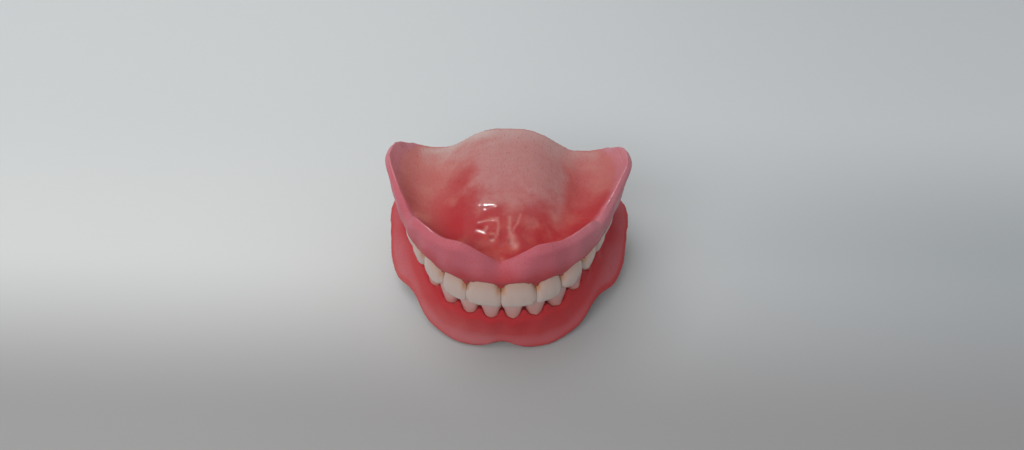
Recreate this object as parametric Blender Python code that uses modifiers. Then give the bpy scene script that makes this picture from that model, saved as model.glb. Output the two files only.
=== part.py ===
"""A complete denture: an upper and a lower denture set one on the other, as they stand on a table.

Each denture is a moulded base that carries fourteen separate teeth, seated in sockets of their own.
The front of the mouth faces -Y, +Z is up, and the origin is on the table under the middle.
Lengths are in metres. A place along the row is counted in teeth: 0 is the midline between the two
front teeth, 3 is behind the canine, 7 is behind the last molar and 8 is the rear end of the base.
"Out" is the distance from the arch towards the lip or cheek, and below zero towards the tongue.
"""

import math
from dataclasses import dataclass

import bmesh
import bpy
import numpy as np

# The half arch. The lower outer cusps stand on it, in the grooves of the upper teeth
ARCH_HALF_WIDTH = 0.0240
ARCH_DEPTH = 0.0480
ARCH_SQUARENESS = 2.4
ARCH_FRONT_Y = -0.02094
ARCH_STEPS = 600

# Levels where the jaws meet
BITE_HEIGHT = 0.0188
BITE_GAP = 0.0003
UPPER_OVERBITE = 0.0008
LOWER_EDGE_DROP = 0.0002
CUSP_SPACING = 0.0060
CUSP_RISE = 0.0007
CUSP_RIPPLE = 0.0003

# Clearances between neighbouring teeth, and between a tooth and its socket
TOOTH_GAP = 0.0002
SEAT_GAP = 0.0002

# Moulded walls and edges that both bases share
PLATE_THICKNESS = 0.0021
ROOT_COVER = 0.0012
ROLL_RADIUS = 0.0011
COLLAR_OUT = 0.0005
COLLAR_RISE = 0.0012
# The gum's edge round a socket is a lip this wide
GUM_LIP = 0.0002
EMBRASURE = 0.0009
# The gum's edge stands this far over the floor that the sockets are cut in
GUM_DEPTH = 0.0008
INNER_CROWN_CUT = 0.0010
# Where the sections lie on each tooth's stretch of the row: two stand beside the gum's points
STATION_SHARES = (0.0, 0.17, 0.5, 0.83)

# Upper base: the palate, whose middle starts behind the front of the arch
PALATE_START = 0.0138
PALATE_FAN = 2.0
PALATE_CURVE = 1.5
# Where a section's points lie, from the palate's middle (0) to the bottom of the ridge's trough (1)
FITTING_SHARES = (0.0, 0.2, 0.38, 0.54, 0.68, 0.8, 0.9, 1.0)
POLISHED_SHARES = (0.76, 0.54, 0.28, 0.0)
# Place, and how far out the trough's bottom lies
UPPER_TROUGH = (
    (0.0, -0.0024),
    (5.0, -0.0034),
    (8.0, -0.0058),
)
# The upper flange's fitting side: its foot, and its middle as shares of the way up and out
WALL_FOOT = 0.45
WALL_MIDDLE = 0.6
FOOT_RISE = 0.10
MIDDLE_RISE = 0.42
# Rows of points down a flange's polished side, and how far it bows out between its ends
UPPER_FLANGE_SHARES = (0.36, 0.7)
LOWER_FLANGE_SHARES = (0.35, 0.7)
FLANGE_BOW = 0.0003
# Place along the row, and the height of the palate's middle over the ridge trough there
PALATE_RISE = (
    (0.0, 0.0036),
    (2.0, 0.0036),
    (5.3, 0.0074),
    (8.0, 0.0066),
)
# Place, how far out the rim lies, and its height over the ridge trough
UPPER_RIM = (
    (0.0, 0.0007, 0.0003),
    (0.4, 0.0011, 0.0027),
    (1.2, 0.0017, 0.0060),
    (2.5, 0.0020, 0.0040),
    (3.4, 0.0030, 0.0042),
    (3.9, 0.0033, 0.0024),
    (4.5, 0.0040, 0.0046),
    (5.6, 0.0052, 0.0052),
    (6.5, 0.0066, 0.0054),
    (7.1, 0.0056, 0.0056),
    (7.6, 0.0036, 0.0036),
    (8.0, 0.0016, 0.0014),
)

# Lower base
# Place, how far out the rim lies, and its height over the table
LOWER_RIM = (
    (0.0, -0.0001, 0.0023),
    (0.5, 0.0003, 0.0010),
    (1.25, 0.0010, 0.0),
    (1.75, 0.0018, 0.0),
    (2.5, 0.0028, 0.0008),
    (3.2, 0.0040, 0.0020),
    (4.2, 0.0048, 0.0054),
    (4.8, 0.0068, 0.0042),
    (5.6, 0.0084, 0.0052),
    (6.6, 0.0088, 0.0100),
    (7.3, 0.0078, 0.0122),
    (8.0, 0.0028, 0.0128),
)
LOWER_TONGUE_RIM = (
    (0.0, -0.0074, 0.0045),
    (1.5, -0.0078, 0.0026),
    (3.0, -0.0084, 0.0018),
    (4.6, -0.0092, 0.0004),
    (5.25, -0.0098, 0.0),
    (5.75, -0.0100, 0.0),
    (6.6, -0.0094, 0.0014),
    (7.2, -0.0084, 0.0056),
    (8.0, -0.0054, 0.0122),
)
# Place, how far out the crest of the fitting side lies, and half its width
LOWER_CREST = (
    (0.0, -0.0035, 0.0014),
    (3.0, -0.0030, 0.0018),
    (5.5, -0.0018, 0.0030),
    (8.0, -0.0012, 0.0014),
)
RIM_FLAT = 0.0010
RIM_THICKNESS = 0.0022
RIM_DRESSING = 0.0003
CREST_ROUND = 0.0006
PAD_RISE = 0.0032
PAD_THINNING = 0.6


@dataclass(frozen=True)
class Tooth:
    """One tooth as it is bought. The crown shows, and the rest of the length sits in the base."""

    name: str
    form: str
    width: float
    depth: float
    crown: float
    length: float
    face_out: float


UPPER_TEETH = (
    Tooth("central_incisor", "incisor", 0.0080, 0.0060, 0.0082, 0.0102, 0.0036),
    Tooth("lateral_incisor", "incisor", 0.0064, 0.0056, 0.0075, 0.0100, 0.0035),
    Tooth("canine", "canine", 0.0074, 0.0064, 0.0082, 0.0102, 0.0038),
    Tooth("first_premolar", "premolar", 0.0066, 0.0084, 0.0072, 0.0088, 0.0041),
    Tooth("second_premolar", "premolar", 0.0064, 0.0086, 0.0068, 0.0084, 0.0042),
    Tooth("first_molar", "molar", 0.0090, 0.0094, 0.0064, 0.0080, 0.0046),
    Tooth("second_molar", "molar", 0.0082, 0.0092, 0.0060, 0.0078, 0.0045),
)
LOWER_TEETH = (
    Tooth("central_incisor", "lower_incisor", 0.0052, 0.0050, 0.0070, 0.0092, 0.0010),
    Tooth("lateral_incisor", "lower_incisor", 0.0056, 0.0052, 0.0070, 0.0092, 0.0010),
    Tooth("canine", "lower_canine", 0.0066, 0.0060, 0.0074, 0.0094, 0.0012),
    Tooth("first_premolar", "premolar", 0.0068, 0.0074, 0.0068, 0.0086, 0.0015),
    Tooth("second_premolar", "premolar", 0.0068, 0.0080, 0.0065, 0.0082, 0.0016),
    Tooth("first_molar", "molar", 0.0100, 0.0092, 0.0062, 0.0078, 0.0018),
    Tooth("second_molar", "molar", 0.0092, 0.0090, 0.0058, 0.0076, 0.0018),
)


@dataclass(frozen=True)
class Form:
    """How a kind of tooth swells and tapers from its edge to its root.

    Each ring has its height as a share of the tooth's length, its width and depth as shares of the
    tooth's, and how far its face lies outside the tooth's widest face, as a share of the depth.
    """

    rings: tuple
    squareness: float
    tongue_taper: float
    tip: float
    corner: float
    cusps: int


FORMS = {
    "incisor": Form(
        (
            (0.0, 0.88, 0.15, -0.06),
            (0.08, 0.97, 0.24, -0.02),
            (0.28, 1.0, 0.42, 0.0),
            (0.52, 0.93, 0.68, -0.02),
            (0.78, 0.82, 0.90, -0.08),
            (1.0, 0.72, 0.92, -0.16),
        ),
        squareness=2.8, tongue_taper=0.34, tip=0.0, corner=0.05, cusps=0,
    ),
    "canine": Form(
        (
            (0.0, 0.72, 0.20, -0.10),
            (0.10, 0.92, 0.34, -0.04),
            (0.30, 1.0, 0.50, 0.0),
            (0.52, 0.93, 0.70, 0.0),
            (0.78, 0.82, 0.92, -0.06),
            (1.0, 0.72, 0.92, -0.14),
        ),
        squareness=2.4, tongue_taper=0.36, tip=0.13, corner=0.03, cusps=0,
    ),
    "lower_incisor": Form(
        (
            (0.0, 0.93, 0.18, -0.06),
            (0.10, 0.99, 0.27, -0.02),
            (0.28, 1.0, 0.44, 0.0),
            (0.52, 0.91, 0.68, -0.01),
            (0.76, 0.79, 0.92, -0.05),
            (1.0, 0.62, 0.92, -0.11),
        ),
        squareness=2.4, tongue_taper=0.28, tip=0.0, corner=0.02, cusps=0,
    ),
    "lower_canine": Form(
        (
            (0.0, 0.70, 0.22, -0.08),
            (0.12, 0.91, 0.34, -0.03),
            (0.30, 1.0, 0.50, 0.0),
            (0.52, 0.92, 0.72, 0.0),
            (0.78, 0.80, 0.93, -0.05),
            (1.0, 0.66, 0.93, -0.11),
        ),
        squareness=2.2, tongue_taper=0.30, tip=0.12, corner=0.02, cusps=0,
    ),
    "premolar": Form(
        (
            (0.0, 0.80, 0.80, -0.10),
            (0.18, 0.96, 0.95, -0.03),
            (0.38, 1.0, 1.0, 0.0),
            (0.70, 0.86, 0.97, -0.01),
            (1.0, 0.74, 0.88, -0.05),
        ),
        squareness=2.5, tongue_taper=0.16, tip=0.0, corner=0.0, cusps=1,
    ),
    "molar": Form(
        (
            (0.0, 0.88, 0.83, -0.09),
            (0.18, 0.98, 0.96, -0.03),
            (0.38, 1.0, 1.0, 0.0),
            (0.70, 0.89, 0.98, -0.01),
            (1.0, 0.79, 0.91, -0.04),
        ),
        squareness=3.0, tongue_taper=0.08, tip=0.0, corner=0.0, cusps=2,
    ),
}
RING_POINTS = 12
CHEWING_RINGS = (0.68, 0.34)
EDGE_SOFTNESS = 0.3
TIP_SHARPNESS = 1.4
# The gum's points between the teeth stop before neighbouring sockets would meet
GUM_POINT_SHARE = 0.33
INNER_GUM_POINT_SHARE = 0.16


@dataclass(frozen=True)
class Jaw:
    """One denture. Its roots point away from the bite: 1 is up and -1 is down."""

    name: str
    away: int
    teeth: tuple
    contact_out: float
    edge_height: float
    tail: float
    gum_point_sharpness: float


UPPER = Jaw("upper", 1, UPPER_TEETH, 0.0020, BITE_HEIGHT - UPPER_OVERBITE, 0.0062, 7.0)
LOWER = Jaw("lower", -1, LOWER_TEETH, -0.0005, BITE_HEIGHT - LOWER_EDGE_DROP, 0.0066, 12.0)
TEETH_A_SIDE = len(UPPER_TEETH)

ACRYLIC_COLOR = (0.58, 0.13, 0.14, 1.0)
ACRYLIC_ROUGHNESS = 0.16
TOOTH_COLOR = (0.72, 0.65, 0.54, 1.0)
TOOTH_ROUGHNESS = 0.22
SMOOTH_ANGLE = math.radians(38)
MERGE_DISTANCE = 0.000001
MIRROR_MERGE_DISTANCE = 0.00001


def clear_scene():
    for item in list(bpy.data.objects):
        bpy.data.objects.remove(item)


def new_collection(name):
    collection = bpy.data.collections.new(name)
    bpy.context.scene.collection.children.link(collection)
    return collection


def make_material(name, color, roughness):
    material = bpy.data.materials.new(name)
    material.use_nodes = True
    shader = material.node_tree.nodes["Principled BSDF"]
    shader.inputs["Base Color"].default_value = color
    shader.inputs["Roughness"].default_value = roughness
    shader.inputs["Metallic"].default_value = 0.0
    return material


def lerp(start, end, share):
    return start + (end - start) * share


def knot_slopes(places, values):
    """Slopes through the knots that keep a curve from swinging past them, level at both ends."""
    steps = np.diff(values) / np.diff(places)
    slopes = [0.0]
    for before, after in zip(steps[:-1], steps[1:]):
        same_way = before * after > 0
        slopes.append(2 * before * after / (before + after) if same_way else 0.0)
    slopes.append(0.0)
    return slopes


def smooth(knots, place):
    """Values at a place on smooth curves through knots of a place and its values."""
    places = np.array([knot[0] for knot in knots])
    index = int(np.clip(np.searchsorted(places, place) - 1, 0, len(places) - 2))
    span = places[index + 1] - places[index]
    t = (place - places[index]) / span
    result = []
    for column in range(1, len(knots[0])):
        values = np.array([knot[column] for knot in knots])
        slopes = knot_slopes(places, values)
        result.append(
            (2 * t**3 - 3 * t**2 + 1) * values[index]
            + (t**3 - 2 * t**2 + t) * span * slopes[index]
            + (3 * t**2 - 2 * t**3) * values[index + 1]
            + (t**3 - t**2) * span * slopes[index + 1]
        )
    return result


def arch_line():
    """Points and outward directions of the half arch, which runs straight back behind its widest place."""
    angles = np.linspace(0.0, math.pi / 2, ARCH_STEPS + 1)
    side = np.sin(angles) ** (2 / ARCH_SQUARENESS)
    ahead = np.maximum(np.cos(angles), 0.0) ** (2 / ARCH_SQUARENESS)
    points = np.column_stack((ARCH_HALF_WIDTH * side, ARCH_FRONT_Y + ARCH_DEPTH * (1 - ahead)))
    power = ARCH_SQUARENESS - 1
    normals = np.column_stack((side**power / ARCH_HALF_WIDTH, -(ahead**power) / ARCH_DEPTH))
    normals /= np.linalg.norm(normals, axis=1)[:, None]
    rear = points[-1] + np.array([0.0, ARCH_DEPTH])
    return np.vstack((points, rear)), np.vstack((normals, normals[-1]))


class Row:
    """The half row of one jaw, on the +X side, measured along the line where its teeth touch."""

    def __init__(self, jaw):
        self.jaw = jaw
        self.points, self.normals = arch_line()
        contact = self.points + jaw.contact_out * self.normals
        steps = np.linalg.norm(np.diff(contact, axis=0), axis=1)
        self.lengths = np.concatenate(([0.0], np.cumsum(steps)))
        spans = [tooth.width for tooth in jaw.teeth] + [jaw.tail]
        self.bounds = np.concatenate(([0.0], np.cumsum(spans)))

    def point(self, along, out):
        """The point on the floor plan at a length along the row and a distance out from the arch."""
        x, y, normal_x, normal_y = (
            np.interp(along, self.lengths, column)
            for column in (*self.points.T, *self.normals.T)
        )
        size = math.hypot(normal_x, normal_y)
        return np.array([x + out * normal_x / size, y + out * normal_y / size])

    def at(self, place, out):
        return self.point(np.interp(place, range(len(self.bounds)), self.bounds), out)

    def of_teeth(self, place, measure):
        """A measure of the teeth, read smoothly from one tooth's middle to the next."""
        middles = np.arange(len(self.jaw.teeth)) + 0.5
        return float(np.interp(place, middles, [measure(tooth) for tooth in self.jaw.teeth]))

    def edge(self, tooth):
        return BITE_HEIGHT if FORMS[tooth.form].cusps else self.jaw.edge_height

    def face(self, place):
        return self.of_teeth(place, lambda tooth: tooth.face_out)

    def inner_face(self, place):
        return self.of_teeth(place, lambda tooth: tooth.face_out - tooth.depth)

    def margin(self, place, point_share):
        """Height of the gum line, whose points between the teeth reach over a share of the crown."""
        crown = self.of_teeth(place, lambda tooth: tooth.crown)
        edge = self.of_teeth(place, self.edge)
        return edge + self.jaw.away * crown * (1 - point_share * self.scallop(place))

    def scallop(self, place):
        """1 between two teeth and 0 at a tooth's middle, with no points behind the last tooth."""
        if place >= TEETH_A_SIDE:
            return 0.0
        return abs(math.cos(math.pi * place)) ** self.jaw.gum_point_sharpness

    def skin(self, place, height, side):
        """How far out the teeth's faces (1) or their tongue sides (-1) lie at a height."""
        def measure(tooth):
            share = self.jaw.away * (height - self.edge(tooth)) / tooth.length
            heights, _, depths, faces = zip(*FORMS[tooth.form].rings)
            face_out = tooth.face_out + np.interp(share, heights, faces) * tooth.depth
            if side > 0:
                return face_out
            return face_out - np.interp(share, heights, depths) * tooth.depth
        return self.of_teeth(place, measure)

    def ridge(self, place):
        """Height of the fitting side over the roots, at the bottom of the ridge's trough."""
        cover = SEAT_GAP + ROOT_COVER
        away = self.jaw.away
        return self.of_teeth(place, lambda tooth: self.edge(tooth) + away * (tooth.length + cover))


def tail_share(place):
    return max(0.0, place - TEETH_A_SIDE)


def bite_surface(out):
    return BITE_HEIGHT + CUSP_RISE * math.cos(2 * math.pi * out / CUSP_SPACING)


def chewing_height(jaw, form, along_share, out):
    """Height of a chewing surface: the jaws share one wave, and the grooves cut each tooth back from it."""
    turn = math.cos(2 * math.pi * form.cusps * along_share / 2)
    groove = (1 + (-1) ** form.cusps * turn) / 2
    return bite_surface(out) + jaw.away * (BITE_GAP / 2 + CUSP_RIPPLE * groove)


def power_of(value, power):
    return math.copysign(abs(value) ** power, value)


def ring_shares(form):
    """Points round a rounded square, along the row and outwards, each from -1 to 1."""
    shares = []
    for step in range(RING_POINTS):
        angle = 2 * math.pi * step / RING_POINTS
        along = power_of(math.cos(angle), 2 / form.squareness)
        out = power_of(math.sin(angle), 2 / form.squareness)
        shares.append((along, out))
    return shares


def tooth_rings(row, index, grow):
    """Rings of points from a tooth's edge or chewing surface to its root, grown by a clearance."""
    jaw = row.jaw
    tooth = jaw.teeth[index]
    form = FORMS[tooth.form]
    middle = (row.bounds[index] + row.bounds[index + 1]) / 2
    rings = []
    for height, width, depth, face in form.rings:
        half_width = (tooth.width - TOOTH_GAP) * width / 2 + grow
        half_depth = tooth.depth * depth / 2 + grow
        centre_out = tooth.face_out + face * tooth.depth - tooth.depth * depth / 2
        ring = []
        for along_share, out_share in ring_shares(form):
            narrowing = 1 - form.tongue_taper * max(-out_share, 0.0)
            out = centre_out + out_share * half_depth
            lift = height * (tooth.length + grow)
            if form.cusps and height == 0.0:
                z = chewing_height(jaw, form, along_share * width, out)
            else:
                fade = max(0.0, 1 - height / EDGE_SOFTNESS)
                point = form.tip * abs(along_share) ** TIP_SHARPNESS
                point += form.corner * max(along_share, 0.0) ** 2
                z = row.edge(tooth) + jaw.away * (lift + fade * point * tooth.width)
            x, y = row.point(middle + along_share * half_width * narrowing, out)
            ring.append((x, y, z))
        rings.append(ring)
    if form.cusps:
        rings = chewing_rings(row, index, grow) + rings
    return rings


def chewing_rings(row, index, grow):
    """The middle of a chewing surface and the rings round it, inside the tooth's first ring."""
    tooth = row.jaw.teeth[index]
    form = FORMS[tooth.form]
    height, width, depth, face = form.rings[0]
    middle = (row.bounds[index] + row.bounds[index + 1]) / 2
    centre_out = tooth.face_out + face * tooth.depth - tooth.depth * depth / 2
    rings = []
    for share in CHEWING_RINGS:
        ring = []
        for along_share, out_share in ring_shares(form):
            out = centre_out + share * out_share * (tooth.depth * depth / 2 + grow)
            along = share * along_share * ((tooth.width - TOOTH_GAP) * width / 2 + grow)
            z = chewing_height(row.jaw, form, share * along_share * width, out)
            ring.append((*row.point(middle + along, out), z))
        rings.append(ring)
    top = (*row.point(middle, centre_out), chewing_height(row.jaw, form, 0.0, centre_out))
    return [[top]] + list(reversed(rings))


def loft(rings, closed, cap_last):
    """A skin through rings of points, with a fan where a ring is a single point."""
    bm = bmesh.new()
    rows = [[bm.verts.new(point) for point in ring] for ring in rings]
    for before, after in zip(rows[:-1], rows[1:]):
        count = len(after)
        for step in range(count if closed else count - 1):
            following = (step + 1) % count
            if len(before) == 1:
                bm.faces.new((before[0], after[following], after[step]))
            else:
                bm.faces.new((before[step], before[following], after[following], after[step]))
    if closed and len(rows[0]) > 1:
        bm.faces.new(reversed(rows[0]))
    if cap_last:
        bm.faces.new(rows[-1])
    bmesh.ops.remove_doubles(bm, verts=bm.verts, dist=MERGE_DISTANCE)
    return bm


def mesh_from(bm, name):
    """A smooth shaded mesh whose faces point outwards. Its open sides, if any, lie in the plane x = 0."""
    if bm.calc_volume(signed=True) < 0:
        bmesh.ops.reverse_faces(bm, faces=bm.faces)
    mesh = bpy.data.meshes.new(name)
    bm.to_mesh(mesh)
    bm.free()
    mesh.shade_smooth()
    mesh.set_sharp_from_angle(angle=SMOOTH_ANGLE)
    return mesh


def add_object(name, mesh, collection, parent):
    item = bpy.data.objects.new(name, mesh)
    collection.objects.link(item)
    item.parent = parent
    return item


def tooth_object(name, row, index, side, grow, collection, parent):
    """A tooth, or the cutter of its socket, on the +X side (1) or the -X side (-1)."""
    origin = np.array([*row.point((row.bounds[index] + row.bounds[index + 1]) / 2, 0.0), BITE_HEIGHT])
    rings = [
        [((point - origin) * (side, 1, 1)) for point in np.array(ring)]
        for ring in tooth_rings(row, index, grow)
    ]
    item = add_object(name, mesh_from(loft(rings, True, True), name), collection, parent)
    item.location = origin * (side, 1, 1)
    return item


def palate_height(place, share):
    """Height of the palate's fitting side, from its middle (0) to the bottom of the trough (1)."""
    rise = smooth(PALATE_RISE, place)[0]
    return UPPER_ROW.ridge(place) + rise * (1 + math.cos(math.pi * share**PALATE_CURVE)) / 2


def trough_point(place):
    return UPPER_ROW.at(place, smooth(UPPER_TROUGH, place)[0])


def palate_middle(place):
    """Where a section meets the midline. The front sections fan out from one point."""
    front = trough_point(PALATE_FAN)[1]
    rear = trough_point(TEETH_A_SIDE + 1)[1]
    share = max(0.0, (trough_point(place)[1] - front) / (rear - front))
    return np.array([0.0, lerp(ARCH_FRONT_Y + PALATE_START, rear, share)])


def palate_points(place, shares, lift):
    """Points over the palate, which takes its shape from the fan's last section at its middle."""
    middle = palate_middle(place)
    trough = trough_point(place)
    points = []
    for share in shares:
        x, y = lerp(middle, trough, share)
        at_middle = palate_height(max(place, PALATE_FAN), share)
        points.append((x, y, lerp(at_middle, palate_height(place, share), share) + lift))
    return points


def gum_outline(row, place, closing):
    """The gum round the teeth's necks, from the collar on the face side to the one on the tongue side.

    It closes over where there are no teeth: closing is the distance out and the height there of the
    two ends.
    """
    away = row.jaw.away
    tail = tail_share(place)
    (end_out, end_height), (end_in, end_in_height) = closing
    edge_in = EMBRASURE * row.scallop(place) ** 2
    margin = lerp(row.margin(place, GUM_POINT_SHARE), end_height, tail)
    inner_margin = row.margin(place, INNER_GUM_POINT_SHARE) - away * INNER_CROWN_CUT
    inner_margin = lerp(inner_margin, end_in_height, tail)
    lip = SEAT_GAP + GUM_LIP
    face = lerp(row.skin(place, margin, 1) + lip - edge_in, end_out, tail)
    inner_face = lerp(row.skin(place, inner_margin, -1) - lip + edge_in / 2, end_in, tail)
    collar = lerp(row.face(place) + COLLAR_OUT - edge_in / 2, end_out, tail)
    inner_collar = lerp(row.inner_face(place) - COLLAR_OUT, end_in, tail)
    rise = away * COLLAR_RISE * (1 - tail)
    floor = away * GUM_DEPTH * (1 - tail)
    return [
        (collar, margin + rise),
        (face, margin),
        (lerp(face, inner_face, 0.25), margin + floor),
        (lerp(face, inner_face, 0.5), (margin + inner_margin) / 2 + floor),
        (lerp(face, inner_face, 0.75), inner_margin + floor),
        (inner_face, inner_margin),
        (inner_collar, inner_margin + rise),
    ]


def upper_section(place):
    """One section of the upper base: over the palate, round the rim and back under the teeth."""
    row = UPPER_ROW
    ridge = row.ridge(place)
    trough_out = smooth(UPPER_TROUGH, place)[0]
    rim_out, rim_rise = smooth(UPPER_RIM, place)
    rim_height = ridge + rim_rise
    wall_top = rim_out - ROLL_RADIUS
    wall_foot = lerp(trough_out, wall_top, WALL_FOOT)
    outer_top = rim_out + ROLL_RADIUS
    fitting = [
        (wall_foot, ridge + rim_rise * FOOT_RISE),
        (lerp(wall_foot, wall_top, WALL_MIDDLE), ridge + rim_rise * MIDDLE_RISE),
        (wall_top, rim_height - ROLL_RADIUS * min(1.0, rim_rise / (3 * ROLL_RADIUS))),
        (rim_out, rim_height),
        (outer_top, rim_height - ROLL_RADIUS),
    ]
    underside = ridge - PLATE_THICKNESS
    gum = gum_outline(row, place, ((rim_out + ROLL_RADIUS / 2, underside), (trough_out, underside)))
    flange = [between(fitting[-1], gum[0], share, FLANGE_BOW) for share in UPPER_FLANGE_SHARES]
    section = palate_points(place, FITTING_SHARES, 0.0)
    section += [(*row.at(place, out), height) for out, height in fitting + flange + gum]
    return section + palate_points(place, POLISHED_SHARES, -PLATE_THICKNESS)


def lower_section(place):
    """One closed section of the lower base, from the outer gum line round the rims and back."""
    row = LOWER_ROW
    tail = tail_share(place)
    rim_tip = smooth(LOWER_RIM, place)
    tongue_tip = smooth(LOWER_TONGUE_RIM, place)
    crest_out, crest_half = smooth(LOWER_CREST, place)
    crest = row.ridge(place) + PAD_RISE * tail
    polished = crest + PLATE_THICKNESS
    thin = 1 - PAD_THINNING * tail

    gum = gum_outline(row, place, ((crest_out + crest_half, polished), (crest_out - crest_half, polished)))
    collar, tongue_collar = gum[0], gum[-1]
    crest_outer = (crest_out + crest_half, crest - CREST_ROUND)
    crest_inner = (crest_out - crest_half, crest - CREST_ROUND)
    rim = rim_points(between(collar, crest_outer, 0.5, 0.0), rim_tip, 1, thin)
    tongue_rim = rim_points(between(tongue_collar, crest_inner, 0.5, 0.0), tongue_tip, -1, thin)
    outline = [
        *(between(collar, rim[0], share, -FLANGE_BOW) for share in LOWER_FLANGE_SHARES),
        *rim,
        between(rim[-1], crest_outer, 0.5, 0.0),
        crest_outer,
        (crest_out, crest),
        crest_inner,
        between(tongue_rim[-1], crest_inner, 0.5, 0.0),
        *reversed(tongue_rim),
        between(tongue_rim[0], tongue_collar, 0.5, FLANGE_BOW),
        *reversed(gum),
    ]
    # The lowest parts of the rims are dressed flat, and the dentures stand on them
    return [(*row.at(place, out), max(height - RIM_DRESSING, 0.0)) for out, height in outline]


def rim_points(root, tip, facing, thin):
    """A flange's rolled rim, from its polished side round the tip to its fitting side.

    The flange runs straight from its root to its tip. Facing is 1 where the polished side looks to
    the cheek, and -1 where it looks to the tongue.
    """
    run = np.array(tip) - np.array(root)
    run /= np.linalg.norm(run)
    side = np.array([-run[1], run[0]]) * facing
    shoulder = np.array(tip) - run * ROLL_RADIUS * thin
    thick = side * RIM_THICKNESS * thin / 2
    flat = side * RIM_FLAT * thin / 2
    return [shoulder + thick, np.array(tip) + flat, np.array(tip) - flat, shoulder - thick]


def between(start, end, share, out):
    return (lerp(start[0], end[0], share) + out, lerp(start[1], end[1], share))


def base_object(name, sections, closed, collection, parent):
    """A base made as its +X half and mirrored to the other side."""
    bm = loft(sections, closed, True)
    if closed:
        first = [face for face in bm.faces if all(abs(v.co.x) < MERGE_DISTANCE for v in face.verts)]
        bmesh.ops.delete(bm, geom=first, context="FACES_ONLY")
    item = add_object(name, mesh_from(bm, name), collection, parent)
    mirror = item.modifiers.new("other_half", "MIRROR")
    mirror.use_mirror_merge = True
    mirror.merge_threshold = MIRROR_MERGE_DISTANCE
    return item


def seat_teeth(base, row, collection, cutters, parent, material):
    """Fourteen teeth, each in a socket that is cut to its shape."""
    for side, side_name in ((1, "left"), (-1, "right")):
        for index, tooth in enumerate(row.jaw.teeth):
            name = f"{row.jaw.name}_{side_name}_{tooth.name}"
            item = tooth_object(name, row, index, side, 0.0, collection, parent)
            item.data.materials.append(material)
            cutter = tooth_object(f"{name}_socket", row, index, side, SEAT_GAP, cutters, parent)
            cutter.hide_render = True
            cutter.display_type = "WIRE"
            socket = base.modifiers.new(cutter.name, "BOOLEAN")
            socket.operation = "DIFFERENCE"
            socket.solver = "EXACT"
            socket.object = cutter


def stations():
    places = [tooth + share for tooth in range(TEETH_A_SIDE + 1) for share in STATION_SHARES]
    return [*places, TEETH_A_SIDE + 1]


def build():
    clear_scene()
    denture = new_collection("complete_denture")
    cutters = new_collection("denture_cutters")
    acrylic = make_material("denture_acrylic", ACRYLIC_COLOR, ACRYLIC_ROUGHNESS)
    enamel = make_material("tooth_acrylic", TOOTH_COLOR, TOOTH_ROUGHNESS)
    parts = ((UPPER_ROW, upper_section, False), (LOWER_ROW, lower_section, True))
    for row, section, closed in parts:
        jaw = bpy.data.objects.new(f"{row.jaw.name}_denture", None)
        denture.objects.link(jaw)
        sections = [section(place) for place in stations()]
        base = base_object(f"{row.jaw.name}_base", sections, closed, denture, jaw)
        base.data.materials.append(acrylic)
        seat_teeth(base, row, denture, cutters, jaw, enamel)


UPPER_ROW = Row(UPPER)
LOWER_ROW = Row(LOWER)

build()
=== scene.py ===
# %% [markdown]
# # A full denture, dressed for its picture
#
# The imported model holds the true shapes: two moulded bases and twenty-eight teeth, all faceted. This
# lesson gives them their finish. Each tooth gets a smooth skin that passes through its corners, each
# base becomes one soft, closed skin that hugs its teeth, and two plastics get the colours, the depth
# and the gloss of the real ones. Lengths are in metres, +Z is up and the lips face -Y.

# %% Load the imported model
import math

import bmesh
import bpy
import numpy as np
from mathutils import Matrix, Vector
from mathutils.bvhtree import BVHTree


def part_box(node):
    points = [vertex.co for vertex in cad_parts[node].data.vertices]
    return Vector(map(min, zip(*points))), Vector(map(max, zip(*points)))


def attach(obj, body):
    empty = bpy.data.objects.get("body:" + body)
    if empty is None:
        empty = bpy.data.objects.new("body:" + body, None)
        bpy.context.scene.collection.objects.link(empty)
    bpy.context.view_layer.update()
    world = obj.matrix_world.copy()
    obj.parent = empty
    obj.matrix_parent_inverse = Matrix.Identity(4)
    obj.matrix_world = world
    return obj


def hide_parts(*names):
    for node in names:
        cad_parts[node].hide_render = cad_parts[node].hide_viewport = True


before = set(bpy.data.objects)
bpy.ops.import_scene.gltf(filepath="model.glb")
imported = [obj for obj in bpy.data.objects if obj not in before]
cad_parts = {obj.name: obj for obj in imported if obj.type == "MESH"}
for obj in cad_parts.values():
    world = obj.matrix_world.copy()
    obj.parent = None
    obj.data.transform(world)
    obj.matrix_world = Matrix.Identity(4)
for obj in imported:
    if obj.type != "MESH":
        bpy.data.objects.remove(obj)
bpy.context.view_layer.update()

# %% [markdown]
# The pieces are named the way a dental workshop names them: by jaw, by the wearer's side, and by tooth.
# In each row the list runs from the right second molar round the front to the left one, so two
# neighbours in the list are neighbours in the mouth.

# %% Name the rows of teeth
JAWS = {"upper": 1, "lower": -1}
TEETH = ("central_incisor", "lateral_incisor", "canine", "first_premolar", "second_premolar",
         "first_molar", "second_molar")
ROWS = {
    jaw: [f"{jaw}_right_{tooth}" for tooth in reversed(TEETH)] + [f"{jaw}_left_{tooth}" for tooth in TEETH]
    for jaw in JAWS
}
for jaw, row in ROWS.items():
    print(jaw, len(row), "teeth")

# %% [markdown]
# Operators act on whatever is selected, and the loaded nodes are selected, so each step first clears
# the selection and then picks its own piece. A copy of a node starts as loose triangles, so its
# doubled corners are merged before anything else is done to it.

# %% Pick, copy and finish a piece
MERGE = 0.000002


def pick(*pieces):
    bpy.ops.object.select_all(action="DESELECT")
    for piece in pieces:
        piece.select_set(True)
    bpy.context.view_layer.objects.active = pieces[0]


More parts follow.
